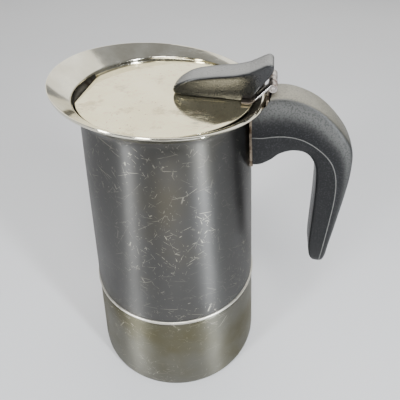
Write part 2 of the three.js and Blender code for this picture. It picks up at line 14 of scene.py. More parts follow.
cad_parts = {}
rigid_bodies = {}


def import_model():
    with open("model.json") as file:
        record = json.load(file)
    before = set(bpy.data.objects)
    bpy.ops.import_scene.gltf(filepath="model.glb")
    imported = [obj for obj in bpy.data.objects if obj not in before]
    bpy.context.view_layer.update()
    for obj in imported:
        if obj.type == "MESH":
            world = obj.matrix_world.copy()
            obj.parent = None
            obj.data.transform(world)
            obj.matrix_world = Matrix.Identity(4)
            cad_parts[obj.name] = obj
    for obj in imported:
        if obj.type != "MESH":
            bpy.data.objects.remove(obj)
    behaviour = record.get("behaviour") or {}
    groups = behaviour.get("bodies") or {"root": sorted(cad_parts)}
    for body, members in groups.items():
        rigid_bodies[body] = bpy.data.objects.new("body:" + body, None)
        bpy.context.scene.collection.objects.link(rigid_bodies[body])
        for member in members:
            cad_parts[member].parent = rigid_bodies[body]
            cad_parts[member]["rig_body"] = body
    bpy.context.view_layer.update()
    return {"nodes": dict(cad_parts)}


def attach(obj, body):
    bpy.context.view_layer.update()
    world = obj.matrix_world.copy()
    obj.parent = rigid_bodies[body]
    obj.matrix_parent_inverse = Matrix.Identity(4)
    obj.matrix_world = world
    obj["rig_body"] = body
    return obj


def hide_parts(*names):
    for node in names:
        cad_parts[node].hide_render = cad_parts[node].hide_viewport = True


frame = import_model()

MM = 0.001
FINE = 192  # sides of the large turned pieces
SMALL = 48  # sides of the small ones
EDGE_STEPS = 3  # facets across a plate's rounded edge
SHARP_DEGREES = 35  # edges that turn by more than this stay sharp

# ---- form of the pot, in millimetres ----

BASE_RADIUS = 49.95
WALL_TAPER = 0.0745
BEND_Z = 130
THROAT_Z = 160
THROAT_RADIUS = 37.9
RIM_Z = 170.2
RIM_RADIUS = 46.2
RIM_HALF_LENGTH = 45.6
RIM_HALF_WIDTH = 46.6
RIM_SHIFT = -3.05
RIM_TILT = 0.095
RIM_SHAPING_START = 164.5
DROP_START = 162
CREASE_Z = 166.6
CREASE_RADIUS = 39.7
CREASE_DROP = 2.2
FLOOR_Z = 71.6
FLOOR_THICKNESS = 1
COLUMN_FOOT_Z = FLOOR_Z + FLOOR_THICKNESS + 0.3
FLARE_Z = 163  # the wall's finish and its dark painted-shade colour change to the flare's here
SLOT_TOP_Z = 166.3  # top of the lid seat below the crease, whose colour is painted shade
SLOT_END_Y = 14
LID_UNDERSIDE = 164.8
LID_TOP = 165.5
LID_RADIUS = 38.7
LID_FRONT = 35.6
PAD_Z = 165.85
LEAF_THICKNESS = 0.78
LEAF_START_X = 33.7
LEAF_BEND_X = 37.6
HINGE = (46.0, 173.2)
KNUCKLE_RADIUS = 1.78
VALVE_Z = 34
VALVE_FLATS_RADIUS = 6.15
THREAD_PITCH = 2.2
THREAD_DEPTH = 0.75
NECK_THREAD_RADIUS = 36.0
COLLAR_THREAD_RADIUS = 36.4
COLLECTOR_FOOT_Z = 59.5
BRACKET_LOW_Z = 135.0
BRACKET_HIGH_Z = 161.3
BRACKET_HALF_WIDTH = 7.4
DIMPLE_HEIGHTS = (138.5, 158)
DIMPLE_RADIUS = 2.2
ARM_INSIDE_X = 43.95
ARM_OUTSIDE_X = 45.05
PIN_HOLE_RADIUS = 0.98
RIVET_PLACES = (14, 29)
RIVET_TOP = 170.4
UNROLL_RADIUS = 44  # the radius at which the wall's pattern keeps its true width
SCRATCH_STRETCH = 6  # how many times longer than wide the cells between scratches are
MARK_LAYER = "mark"  # the handle's vertex values: 1 on the mould seam, where a light line is painted, up to 0.4 on the shoulder, where a highlight is painted


def wall_radius(z):
    if z <= BEND_Z:
        return BASE_RADIUS - WALL_TAPER * z
    bend = BASE_RADIUS - WALL_TAPER * BEND_Z
    t = min(1, (z - BEND_Z) / (THROAT_Z - BEND_Z))
    return bend + (THROAT_RADIUS - bend) * t


def crease_drop(x, z):
    """How far a point of the neck sinks on the hinge side: most at the crease, nothing at the rim."""
    below = (z - DROP_START) / (CREASE_Z - DROP_START)
    above = (RIM_Z - z) / (RIM_Z - CREASE_Z)
    return CREASE_DROP * max(0, min(1, below, above)) * (max(0, x) / CREASE_RADIUS) ** 2


def shape_rim(point):
    """Turns the round flare into the tilted oval rim."""
    x, y, z = point
    share = min(1, max(0, z - RIM_SHAPING_START) / (RIM_Z - RIM_SHAPING_START)) ** 2.2
    shaped_x = x * (1 + share * (RIM_HALF_LENGTH / RIM_RADIUS - 1)) + share * RIM_SHIFT
    shaped_y = y * (1 + share * (RIM_HALF_WIDTH / RIM_RADIUS - 1))
    return shaped_x, shaped_y, z - share * RIM_TILT * shaped_x - crease_drop(x, z)


# ---- mesh helpers ----


def catmull_rom(p, q, r, s, t):
    """The value at share t of the way from q to r."""
    return 0.5 * (2 * q + (r - p) * t + (2 * p - 5 * q + 4 * r - s) * t**2 + (3 * q - p - 3 * r + s) * t**3)


def smooth_curve(keys, steps):
    """Catmull-Rom curve through rows of numbers, steps pieces between each two rows."""
    rows = [keys[0], *keys, keys[-1]]
    result = []
    for a, b, c, d in zip(rows, rows[1:], rows[2:], rows[3:]):
        for i in range(steps):
            result.append(tuple(catmull_rom(*values, i / steps) for values in zip(a, b, c, d)))
    result.append(tuple(keys[-1]))
    return result


def filleted(corners, closed=False, steps=4):
    """Polyline through (x, y, fillet radius) corners with each corner rounded."""
    count = len(corners)
    result = []
    for i, (x, y, radius) in enumerate(corners):
        if radius == 0 or (not closed and i in (0, count - 1)):
            result.append((x, y))
            continue
        here = Vector((x, y))
        before = Vector(corners[i - 1][:2]) - here
        after = Vector(corners[(i + 1) % count][:2]) - here
        reach = min(radius, before.length * 0.48, after.length * 0.48)
        start = here + before.normalized() * reach
        end = here + after.normalized() * reach
        for k in range(steps + 1):
            t = k / steps
            point = start * (1 - t) ** 2 + here * 2 * t * (1 - t) + end * t**2
            result.append((point.x, point.y))
    return result


def finish_mesh(name, bm, material, sharp=SHARP_DEGREES):
    """Makes an object of the mesh, shaded smooth except at edges past the sharp angle."""
    bmesh.ops.remove_doubles(bm, verts=bm.verts, dist=1e-7)
    bmesh.ops.recalc_face_normals(bm, faces=bm.faces)
    for face in bm.faces:
        face.smooth = True
    for edge in bm.edges:
        edge.smooth = edge.calc_face_angle(0) < math.radians(sharp)
    mesh = bpy.data.meshes.new(name)
    bm.to_mesh(mesh)
    bm.free()
    obj = bpy.data.objects.new(name, mesh)
    bpy.context.scene.collection.objects.link(obj)
    mesh.materials.append(material)
    return obj


def rings_to_mesh(rings, around=True, along=False, marks=None):
    """Quads between rings of points. around closes each ring, along joins the last ring to the first."""
    bm = bmesh.new()
    layer = bm.verts.layers.float.new(MARK_LAYER) if marks else None
    made = [[bm.verts.new(Vector(p) * MM) for p in ring] for ring in rings]
    if marks:
        for ring, row in zip(made, marks):
            for vert, mark in zip(ring, row):
                vert[layer] = mark
    pairs = list(zip(made, made[1:] + made[:1]))
    if not along:
        pairs.pop()
    for low, high in pairs:
        size = len(low)
        for i in range(size if around else size - 1):
            j = (i + 1) % size
            bm.faces.new([low[i], low[j], high[j], high[i]])
    return bm, made


def turned(name, material, corners, closed=True, sides=FINE, shape=None, steps=4, sharp=SHARP_DEGREES):
    """Turns a filleted (radius, height, fillet) outline about +Z."""
    outline = filleted(corners, closed, steps)
    rings = []
    for radius, z in outline:
        ring = []
        for i in range(sides):
            angle = 2 * math.pi * i / sides
            point = (radius * math.cos(angle), radius * math.sin(angle), z)
            ring.append(shape(point) if shape else point)
        rings.append(ring)
    bm, _ = rings_to_mesh(rings, along=closed)
    return finish_mesh(name, bm, material, sharp)


def place(obj, matrix):
    """Moves a mesh's own vertices by a matrix in millimetres."""
    scaled = matrix.copy()
    scaled.translation *= MM
    obj.data.transform(scaled)
    return obj


def along_y(z):
    """Lays a piece turned about +Z along +Y, at a height."""
    return Matrix.Translation((0, 0, z)) @ Matrix.Rotation(-math.pi / 2, 4, "X")


def side_plate(name, material, outline, y0, y1, edge):
    """A side outline of (x, z, fillet) corners between y0 and y1, with rounded long edges."""
    points = [Vector(p) for p in filleted(outline, True)]
    area = sum(a.x * b.y - b.x * a.y for a, b in zip(points, points[1:] + points[:1]))
    if area < 0:
        points.reverse()
    inward = []
    for i, here in enumerate(points):
        before = (here - points[i - 1]).normalized()
        after = (points[(i + 1) % len(points)] - here).normalized()
        tangent = (before + after).normalized()
        inward.append(Vector((-tangent.y, tangent.x)))
    levels = []
    for k in range(EDGE_STEPS + 1):
        turn = math.pi / 2 * k / EDGE_STEPS
        levels.append((edge * (1 - math.sin(turn)), edge * (1 - math.cos(turn))))
    rings = []
    for inset, depth in levels:
        rings.append([(p.x + n.x * inset, y0 + depth, p.y + n.y * inset) for p, n in zip(points, inward)])
    for inset, depth in reversed(levels):
        rings.append([(p.x + n.x * inset, y1 - depth, p.y + n.y * inset) for p, n in zip(points, inward)])
    bm, made = rings_to_mesh(rings)
    caps = [bm.faces.new(made[0][::-1]), bm.faces.new(made[-1])]
    bmesh.ops.triangulate(bm, faces=caps)
    return finish_mesh(name, bm, material)


def box_mesh(name, material, low, high, edge):
    """A box between two corners, with its edges along X and Z rounded."""
    outline = [(low[0], low[2], 0), (high[0], low[2], 0), (high[0], high[2], 0), (low[0], high[2], 0)]
    return side_plate(name, material, outline, low[1], high[1], edge)


def close_end(bm, ring):
    """Fills a ring whose two halves mirror each other with a strip of faces between them."""
    for i in range(len(ring) // 2):
        corners = [ring[i], ring[i + 1], ring[len(ring) - i - 1], ring[(len(ring) - i) % len(ring)]]
        unique = list(dict.fromkeys(corners))
        if len(unique) >= 3:
            bm.faces.new(unique)


def cut(obj, cutter):
    """Takes the cutter away from a piece and drops it."""
    modifier = obj.modifiers.new("cut", "BOOLEAN")
    modifier.operation = "DIFFERENCE"
    modifier.solver = "EXACT"
    modifier.object = cutter
    bpy.context.view_layer.update()
    evaluated = obj.evaluated_get(bpy.context.evaluated_depsgraph_get())
    mesh = bpy.data.meshes.new_from_object(evaluated)
    obj.modifiers.clear()
    old = obj.data
    obj.data = mesh
    bpy.data.meshes.remove(old)
    bpy.data.objects.remove(cutter)
    bm = bmesh.new()
    bm.from_mesh(mesh)
    for edge in bm.edges:
        edge.smooth = edge.calc_face_angle(0) < math.radians(SHARP_DEGREES)
    bm.to_mesh(mesh)
    bm.free()
    return obj


# ---- material helpers ----


class Shader:
    """A Principled material with short ways to add nodes."""

    def __init__(self, name, color, roughness, metallic=0.0):
        self.material = bpy.data.materials.new(name)
        self.material.use_nodes = True
        self.tree = self.material.node_tree
        self.bsdf = self.tree.nodes["Principled BSDF"]
        self.bsdf.inputs["Base Color"].default_value = (*color, 1)
        self.bsdf.inputs["Roughness"].default_value = roughness
        self.bsdf.inputs["Metallic"].default_value = metallic

    def node(self, kind, **settings):
        node = self.tree.nodes.new(kind)
        for key, value in settings.items():
            setattr(node, key, value)
        return node

    def feed(self, value, socket):
        if isinstance(value, bpy.types.NodeSocket):
            self.tree.links.new(value, socket)
        else:
            socket.default_value = value

    def math(self, operation, a, b=0.0):
        node = self.node("ShaderNodeMath", operation=operation)
        self.feed(a, node.inputs[0])
        self.feed(b, node.inputs[1])
        return node.outputs[0]

    def ramp(self, value, low, high, to_low=0.0, to_high=1.0):
        node = self.node("ShaderNodeMapRange", interpolation_type="SMOOTHSTEP")
        for socket, number in zip(node.inputs, (value, low, high, to_low, to_high)):
            self.feed(number, socket)
        return node.outputs[0]

    def mix(self, factor, a, b):
        """Mixes two colours: sockets 6 and 7 of the node are the colours, and output 2 is the result."""
        node = self.node("ShaderNodeMix", data_type="RGBA")
        self.feed(factor, node.inputs["Factor"])
        for value, socket in ((a, node.inputs[6]), (b, node.inputs[7])):
            self.feed(value if isinstance(value, bpy.types.NodeSocket) else (*value, 1), socket)
        return node.outputs[2]

    def object_space(self):
        return self.node("ShaderNodeTexCoord").outputs["Object"]

    def object_normal_z(self):
        normal = self.node("ShaderNodeTexCoord").outputs["Normal"]
        split = self.node("ShaderNodeSeparateXYZ")
        self.feed(normal, split.inputs[0])
        return split.outputs[2]

    def unrolled(self):
        """Distance round the pot and height, in metres, with the join behind the handle."""
        split = self.node("ShaderNodeSeparateXYZ")
        self.feed(self.object_space(), split.inputs[0])
        back_x = self.math("MULTIPLY", split.outputs[0], -1.0)
        back_y = self.math("MULTIPLY", split.outputs[1], -1.0)
        angle = self.math("ARCTAN2", back_y, back_x)
        joined = self.node("ShaderNodeCombineXYZ")
        self.feed(self.math("MULTIPLY", angle, UNROLL_RADIUS * MM), joined.inputs[0])
        self.feed(split.outputs[2], joined.inputs[1])
        return joined.outputs[0]

    def noise(self, place, scale, detail=3.0, stretch=(1, 1, 1), turn=0.0, roughness=0.55, shift=0.0):
        mapping = self.node("ShaderNodeMapping")
        self.feed(place, mapping.inputs[0])
        mapping.inputs["Location"].default_value = (shift, shift * 0.7, shift * 0.3)
        mapping.inputs["Rotation"].default_value = (0, 0, turn)
        mapping.inputs["Scale"].default_value = stretch
        node = self.node("ShaderNodeTexNoise")
        self.feed(mapping.outputs[0], node.inputs["Vector"])
        node.inputs["Scale"].default_value = scale
        node.inputs["Detail"].default_value = detail
        node.inputs["Roughness"].default_value = roughness
        return node.outputs[0]

    def hairlines(self, place, turn, length, spacing, width, cover, shift):
        """Fine scratches that run one way, in patches."""
        field = self.noise(place, 1, 1.0, (1 / length, 1 / spacing, 1), turn, 0.5, shift)
        off = self.math("ABSOLUTE", self.math("SUBTRACT", field, 0.5))
        line = self.ramp(off, 0.0, width, 1.0, 0.0)
        patch = self.ramp(self.noise(place, 90, 3.0, shift=shift + 3), cover, cover + 0.12)
        return self.math("MULTIPLY", line, patch)

    def scratches(self, place, scale, width, cover, shift, patches, turn=0.0):
        """Thin straight scratches that run roughly one way, broken up into patches."""
        mapping = self.node("ShaderNodeMapping", vector_type="TEXTURE")
        self.feed(place, mapping.inputs[0])
        mapping.inputs["Location"].default_value = (shift, shift * 0.6, 0)
        mapping.inputs["Rotation"].default_value = (0, 0, turn)
        mapping.inputs["Scale"].default_value = (SCRATCH_STRETCH, 1, 1)
        cells = self.node("ShaderNodeTexVoronoi", feature="DISTANCE_TO_EDGE", voronoi_dimensions="2D")
        self.feed(mapping.outputs[0], cells.inputs["Vector"])
        cells.inputs["Scale"].default_value = scale
        line = self.ramp(cells.outputs["Distance"], width * 0.4, width, 1.0, 0.0)
        patch = self.ramp(self.noise(place, patches, 3.0, shift=shift + 3), cover, cover + 0.08)
        return self.math("MULTIPLY", line, patch)

    def specks(self, place, scale, radius, share):
        cells = self.node("ShaderNodeTexVoronoi")
        self.feed(place, cells.inputs["Vector"])
        cells.inputs["Scale"].default_value = scale
        dot = self.ramp(cells.outputs["Distance"], radius * 0.5, radius, 1.0, 0.0)
        split = self.node("ShaderNodeSeparateColor")
        self.feed(cells.outputs["Color"], split.inputs[0])
        chosen = self.math("GREATER_THAN", split.outputs[0], 1 - share)
        return self.math("MULTIPLY", dot, chosen)

    def bump(self, height, distance, strength=1.0):
        node = self.node("ShaderNodeBump")
        node.inputs["Strength"].default_value = strength
        node.inputs["Distance"].default_value = distance
        self.feed(height, node.inputs["Height"])
        self.feed(node.outputs[0], self.bsdf.inputs["Normal"])

    def brushed(self, amount):
        """Polishing lines that run round the pot's axis, so highlights stretch up and down."""
        tangent = self.node("ShaderNodeTangent", direction_type="RADIAL", axis="Z")
        self.bsdf.inputs["Anisotropic"].default_value = amount
        self.bsdf.inputs["Anisotropic Rotation"].default_value = 0.25
        self.feed(tangent.outputs[0], self.bsdf.inputs["Tangent"])


def polished_wall(name, color, stain, stain_low, roughness, turned_amount):
    """Thin polished steel with fine scratches in patches, specks and stains."""
    s = Shader(name, color, roughness, 1.0)
    place = s.unrolled()
    lines = s.scratches(place, 130, 0.011, 0.54, 0.0, 110)
    for scale, width, cover, shift, patches, turn in (
        (170, 0.013, 0.54, 5.0, 200, 0.7),
        (150, 0.012, 0.53, 9.0, 150, -0.5),
        (190, 0.015, 0.55, 13.0, 260, 1.2),
        (230, 0.016, 0.55, 21.0, 300, 1.9),
        (260, 0.017, 0.55, 25.0, 240, 2.5),
        (100, 0.009, 0.53, 17.0, 120, 0.2),
    ):
        lines = s.math("MAXIMUM", lines, s.scratches(place, scale, width, cover, shift, patches, turn))
    dots = s.specks(place, 520, 0.2, 0.1)
    worn = s.ramp(s.noise(place, 24, 4.0, shift=11.0), 0.42, 0.62, 0.2, 1.0)
    marks = s.math("MULTIPLY", s.math("MAXIMUM", lines, dots), worn)
    clouds = s.noise(place, 28, 5.0, (1, 0.55, 1), shift=2.0)
    grime = s.ramp(s.noise(place, 16, 4.0, (1, 0.8, 1), shift=7.0), stain_low, stain_low + 0.22)
    tone = s.mix(s.ramp(clouds, 0.35, 0.7), tuple(c * 0.84 for c in color), color)
    tone = s.mix(s.math("MULTIPLY", grime, 0.75), tone, stain)
    tone = s.mix(s.math("MULTIPLY", marks, 0.42), tone, (0.8, 0.76, 0.62))
    s.feed(tone, s.bsdf.inputs["Base Color"])
    rough = s.ramp(clouds, 0.3, 0.75, roughness * 0.85, roughness * 1.2)
    rough = s.math("ADD", rough, s.math("MULTIPLY", marks, 0.16))
    rough = s.math("ADD", rough, s.math("MULTIPLY", grime, 0.08))
    s.feed(rough, s.bsdf.inputs["Roughness"])
    fine = s.noise(place, 1, 2.0, (30, 1800, 1), shift=4.0)
    height = s.math("ADD", s.math("MULTIPLY", marks, -0.8), s.math("MULTIPLY", fine, 0.25))
    s.bump(height, 0.00002, 0.5)
    s.brushed(turned_amount)
    return s.material


def flare_steel():
    """The rolled flare above the neck: smoother than the wall and brighter, with a warm cream tint that is a
    painted reflection.
    """
    # Painted reflection: the warm cream tones stand in for a cream room wall that the flare reflects.
    s = Shader("flare_steel", (0.68, 0.655, 0.57), 0.12, 1.0)
    place = s.object_space()
    clouds = s.noise(place, 60, 5.0, shift=3.0)
    lines = s.hairlines(place, 0.5, 0.012, 0.0009, 0.025, 0.5, 2.0)
    lines = s.math("MAXIMUM", lines, s.hairlines(place, -0.8, 0.01, 0.0008, 0.025, 0.5, 7.0))
    tone = s.mix(s.ramp(clouds, 0.35, 0.7), (0.56, 0.53, 0.43), (0.7, 0.675, 0.57))
    s.feed(s.mix(s.math("MULTIPLY", lines, 0.4), tone, (0.8, 0.78, 0.72)), s.bsdf.inputs["Base Color"])
    rough = s.math("ADD", s.ramp(clouds, 0.3, 0.75, 0.1, 0.15), s.math("MULTIPLY", lines, 0.12))
    s.feed(rough, s.bsdf.inputs["Roughness"])
    s.bump(s.math("ADD", s.noise(place, 30, 2.0, shift=5.0), s.math("MULTIPLY", lines, -0.06)), 0.0003, 0.4)
    return s.material


def lid_steel():
    """The lid's flat polished sheet: nearly a mirror, with wiped marks, blots and spots, and a cream-yellow
    colour that is a painted reflection.
    """
    # Painted reflection: the cream-yellow base and cloud colours stand in for a cream room wall that the lid
    # reflects.
    color = (0.86, 0.79, 0.55)
    s = Shader("lid_steel", color, 0.09, 0.94)
    place = s.object_space()
    lines = s.hairlines(place, 0.3, 0.014, 0.0009, 0.025, 0.5, 1.0)
    for turn, length, spacing, shift in ((1.1, 0.01, 0.0008, 6.0), (-0.6, 0.02, 0.001, 11.0)):
        lines = s.math("MAXIMUM", lines, s.hairlines(place, turn, length, spacing, 0.025, 0.5, shift))
    clouds = s.noise(place, 45, 5.0, shift=3.0)
    blots = s.ramp(s.noise(place, 85, 6.0, shift=8.0, roughness=0.7), 0.52, 0.68)
    tone = s.mix(s.ramp(clouds, 0.35, 0.7), (0.77, 0.7, 0.46), color)
    tone = s.mix(s.math("MULTIPLY", blots, 0.85), tone, (0.56, 0.48, 0.31))
    tone = s.mix(s.math("MULTIPLY", lines, 0.35), tone, (0.6, 0.57, 0.5))
    spotted = s.ramp(s.noise(place, 55, 3.0, shift=12.0), 0.45, 0.6)
    spots = s.math("MULTIPLY", s.specks(place, 620, 0.3, 0.3), spotted)
    tone = s.mix(s.math("MULTIPLY", spots, 0.6), tone, (0.34, 0.26, 0.15))
    s.feed(tone, s.bsdf.inputs["Base Color"])
    rough = s.math("ADD", s.ramp(clouds, 0.3, 0.75, 0.07, 0.13), s.math("MULTIPLY", lines, 0.14))
    s.feed(s.math("ADD", rough, s.math("MULTIPLY", blots, 0.05)), s.bsdf.inputs["Roughness"])
    waves = s.noise(place, 22, 2.0, shift=5.0)
    height = s.math("ADD", s.math("MULTIPLY", waves, 1.0), s.math("MULTIPLY", lines, -0.05))
    s.bump(height, 0.0004, 0.5)
    return s.material


def satin_steel(name, color, roughness, stain=None, stain_low=0.5, darker_below=None):
    """Plain satin steel for inner and small pieces, with optional brown residue.

    Below the height darker_below, in metres, the colour turns mostly to the stain colour.
    """
    s = Shader(name, color, roughness, 1.0)
    place = s.object_space()
    clouds = s.noise(place, 120, 5.0, shift=2.0)
    fine = s.noise(place, 900, 3.0, (1, 1, 0.15), shift=1.0)
    tone = s.mix(s.ramp(clouds, 0.3, 0.7), tuple(c * 0.8 for c in color), color)
    rough = s.ramp(fine, 0.3, 0.7, roughness * 0.8, roughness * 1.25)
    if stain:
        grime = s.ramp(s.noise(place, 210, 6.0, shift=4.0), stain_low, stain_low + 0.16)
        if darker_below:
            split = s.node("ShaderNodeSeparateXYZ")
            s.feed(place, split.inputs[0])
            low_darkening = s.ramp(split.outputs[2], darker_below, darker_below + 0.0015, 0.95, 0.0)
            grime = s.math("MAXIMUM", grime, low_darkening)
        tone = s.mix(s.math("MULTIPLY", grime, 0.85), tone, stain)
        rough = s.math("ADD", rough, s.math("MULTIPLY", grime, 0.25))
    s.feed(tone, s.bsdf.inputs["Base Color"])
    s.feed(rough, s.bsdf.inputs["Roughness"])
    s.bump(s.math("ADD", fine, s.math("MULTIPLY", clouds, 0.5)), 0.00004, 0.5)
    return s.material


def turned_brass():
    s = Shader("turned_brass", (0.68, 0.5, 0.24), 0.28, 1.0)
    place = s.object_space()
    clouds = s.noise(place, 260, 5.0)
    dull = s.ramp(clouds, 0.42, 0.68)
    tone = s.mix(dull, (0.72, 0.54, 0.27), (0.36, 0.25, 0.12))
    s.feed(tone, s.bsdf.inputs["Base Color"])
    s.feed(s.math("ADD", 0.22, s.math("MULTIPLY", dull, 0.25)), s.bsdf.inputs["Roughness"])
    s.bump(s.noise(place, 1500), 0.00004, 0.5)
    return s.material


def soft_rubber():
    s = Shader("soft_rubber", (0.62, 0.6, 0.55), 0.6)
    place = s.object_space()
    clouds = s.noise(place, 150, 5.0)
    tone = s.mix(s.ramp(clouds, 0.35, 0.7), (0.5, 0.44, 0.34), (0.66, 0.64, 0.59))
    s.feed(tone, s.bsdf.inputs["Base Color"])
    s.bump(s.noise(place, 2500, 2.0), 0.00005, 0.6)
    return s.material


def black_plastic(name, grain, mottle, roughness, shine, top_dust_and_sheen, dust_and_sheen_share):
    """Moulded black plastic: fine grain; a pale colour on what faces up, partly dust and partly painted
    sheen; painted highlights on the shoulder and along the seam.
    """
    s = Shader(name, (0.012, 0.0125, 0.014), roughness)
    s.bsdf.inputs["Specular IOR Level"].default_value = shine
    place = s.object_space()
    up = s.object_normal_z()
    clouds = s.noise(place, 70, 5.0, shift=2.0)
    pores = s.noise(place, grain, 2.0, shift=6.0)
    # Painted sheen: faces that look up are lightened, partly as dust and partly as painted sheen.
    rounded = s.math("POWER", s.ramp(up, 0.3, 0.98), 1.5)
    worn = s.math("MULTIPLY", rounded, s.ramp(clouds, 0.2, 0.75, 0.75, 1.0))
    mark = s.node("ShaderNodeAttribute", attribute_name=MARK_LAYER).outputs["Fac"]
    # Painted highlight on the handle's shoulder, from the mark values.
    shoulder = s.math("MULTIPLY", s.ramp(mark, 0.0, 0.42), s.ramp(pores, 0.35, 0.62, 0.45, 1.0))
    tone = s.mix(s.math("MULTIPLY", worn, dust_and_sheen_share), (0.004, 0.0042, 0.0047), top_dust_and_sheen)
    tone = s.mix(s.math("MULTIPLY", shoulder, 0.7), tone, (0.15, 0.15, 0.142))
    # Painted highlight: a light line along the mould seam.
    tone = s.mix(s.ramp(mark, 0.55, 1.0, 0.0, 0.55), tone, (0.26, 0.26, 0.24))
    tone = s.mix(s.ramp(pores, 0.5, 0.66, 0.0, mottle), tone, (0.035, 0.035, 0.037))
    s.feed(tone, s.bsdf.inputs["Base Color"])
    s.feed(s.ramp(pores, 0.3, 0.7, roughness * 0.88, roughness * 1.15), s.bsdf.inputs["Roughness"])
    s.bump(pores, 0.00012, 0.5)
    return s.material


# ---- materials ----

# Painted shade: both wall steels get base colours far darker than real stainless steel, standing in for the
# dark surroundings that the pot reflects.
wall_steel = polished_wall("collector_steel", (0.106, 0.104, 0.1), (0.118, 0.108, 0.082), 0.54, 0.4, 0.93)
heated_steel = polished_wall("boiler_steel", (0.165, 0.16, 0.133), (0.115, 0.102, 0.05), 0.48, 0.42, 0.9)
rim_steel = flare_steel()
# Painted shade: a near-black steel for the lid seat, standing in for the shade of the pot's deep interior.
seat_shade_steel = satin_steel("seat_shade_steel", (0.07, 0.065, 0.055), 0.42, (0.03, 0.02, 0.012), 0.5)
leaf_steel = satin_steel("leaf_steel", (0.66, 0.64, 0.6), 0.22, (0.1, 0.065, 0.04), 0.54, 0.1675)
seam_steel = satin_steel("seam_steel", (0.74, 0.71, 0.62), 0.34, (0.5, 0.42, 0.3), 0.6)
bracket_steel = satin_steel("bracket_steel", (0.26, 0.215, 0.165), 0.42, (0.09, 0.05, 0.025), 0.44)
lid_sheet = lid_steel()
inner_steel = satin_steel("inner_steel", (0.62, 0.61, 0.59), 0.28, (0.33, 0.22, 0.12), 0.6)
hinge_steel = satin_steel("hinge_steel", (0.5, 0.46, 0.43), 0.3, (0.16, 0.085, 0.05), 0.46)
spring_steel = satin_steel("spring_steel", (0.55, 0.55, 0.55), 0.3)
brass = turned_brass()
rubber = soft_rubber()
# The pale top colours below are partly dust and partly painted sheen.
handle_black = black_plastic("handle_black", 1500, 0.4, 0.4, 0.26, (0.30, 0.28, 0.22), 0.9)
knob_black = black_plastic("knob_black", 1700, 0.12, 0.3, 0.6, (0.2, 0.198, 0.188), 0.85)


def show(obj, slot, *nodes):
    """The piece stands for these CAD nodes and rides on their body."""
    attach(obj, frame["nodes"][nodes[0]]["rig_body"])
    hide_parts(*nodes)
    return obj


def dress(name, material):
    """Keeps a CAD node and gives it a detailed material."""
    obj = frame["nodes"][name]
    obj.data.materials.clear()
    obj.data.materials.append(material)


# ---- boiler ----


def threaded(name, material, corners, radius, z0, z1, outward):
    """A turned ring whose wall at the given radius carries a helical thread between z0 and z1."""

    def shape(point):
        x, y, z = point
        r = math.hypot(x, y)
        if abs(r - radius) > 0.02 or not z0 <= z <= z1:
            return point
        fade = min(1, (z - z0) / 0.8, (z1 - z) / 0.8)
        phase = (z / THREAD_PITCH - math.atan2(y, x) / (2 * math.pi)) % 1
        groove = THREAD_DEPTH * fade * (0.5 - 0.5 * math.cos(2 * math.pi * phase))
        scale = (r + (groove if outward else -groove)) / r
        return x * scale, y * scale, z

    return turned(name, material, corners, shape=shape, steps=3, sharp=50)


def thread_rows(radius, z0, z1, count):
    """Close rows up a straight wall, for a thread to shape."""
    return [(radius, z0 + (z1 - z0) * i / count, 0) for i in range(count + 1)]


shell = threaded(
    "boiler_shell_fine",
    heated_steel,
    [
        (0, 2.9, 0),
        (47.2, 2.9, 0.4),
        (47.2, 0.6, 0.3),
        (48.4, 0.6, 0.8),
        (49.6, 1.5, 1.4),
        (wall_radius(4.2), 4.2, 1.5),
        (wall_radius(55.8), 55.8, 1.0),
        (wall_radius(57.1) - 0.9, 57.1, 1.2),
        (NECK_THREAD_RADIUS, 57.1, 0.8),
        *thread_rows(NECK_THREAD_RADIUS, 57.6, 65.9, 34),
        (35.9, 66.35, 0.3),
        (34.9, 66.35, 0.3),
        (34.8, 55.9, 0.8),
        (44.2, 55.9, 1.6),
        (wall_radius(50) - 1.2, 50, 3),
        (wall_radius(9) - 1.2, 9, 3),
        (45.2, 4.1, 3),
        (0, 4.1, 0),
    ],
    NECK_THREAD_RADIUS,
    57.6,
    65.9,
    False,
)


def on_valve_axis(name, material, rows, closed=False):
    """A small turned piece laid along the valve's axis."""
    return place(turned(name, material, rows, closed, SMALL), along_y(VALVE_Z))


hole_rows = [(0, 40, 0), (4.5, 40, 0), (4.5, 52, 0), (0, 52, 0)]
valve_hole = on_valve_axis("valve_hole", heated_steel, hole_rows)
show(cut(shell, valve_hole), "boiler_steel", "boiler_shell")

base_rows = [(0, 0.25, 0), (6, 0.25, 0.3), (6.5, 0.0, 0.2)]
for ring in (20, 33):
    base_rows += [(ring - 0.5, 0.0, 0.15), (ring, 0.25, 0.2), (ring + 0.5, 0.0, 0.15)]
base_rows += [(46.2, 0.0, 0.5), (46.85, 0.7, 0.5), (46.85, 2.55, 0.2), (0, 2.55, 0)]
show(turned("boiler_base_fine", inner_steel, base_rows, False), "boiler_steel", "boiler_base_disc")

valve_rows = [
    (1.2, 41.5, 0.1),
    (4.1, 41.5, 0.3),
    (4.1, 49.6, 0),
    (6.1, 49.6, 0.2),
    (6.1, 50.2, 0.2),
    (5.0, 50.3, 0.1),
    (5.0, 53.5, 0.2),
    (4.2, 54.4, 0.3),
    (4.2, 57.6, 0.4),
    (3.6, 57.95, 0.2),
    (1.3, 57.95, 0.1),
    (1.3, 56.4, 0),
    (2.5, 56.4, 0),
    (2.5, 44.8, 0),
    (1.2, 44.8, 0),
]
valve = on_valve_axis("valve_body_fine", brass, valve_rows, True)
hexagon = []
for corner in range(6):
    angle = math.radians(60 * corner)
    x = VALVE_FLATS_RADIUS * math.cos(angle)
    hexagon.append((x, VALVE_Z + VALVE_FLATS_RADIUS * math.sin(angle), 0.4))
flats = side_plate("valve_hexagon", brass, hexagon, 50.35, 53.4, 0.35)
bore_rows = [(0, 45, 0), (4.9, 45, 0), (4.9, 60, 0), (0, 60, 0)]
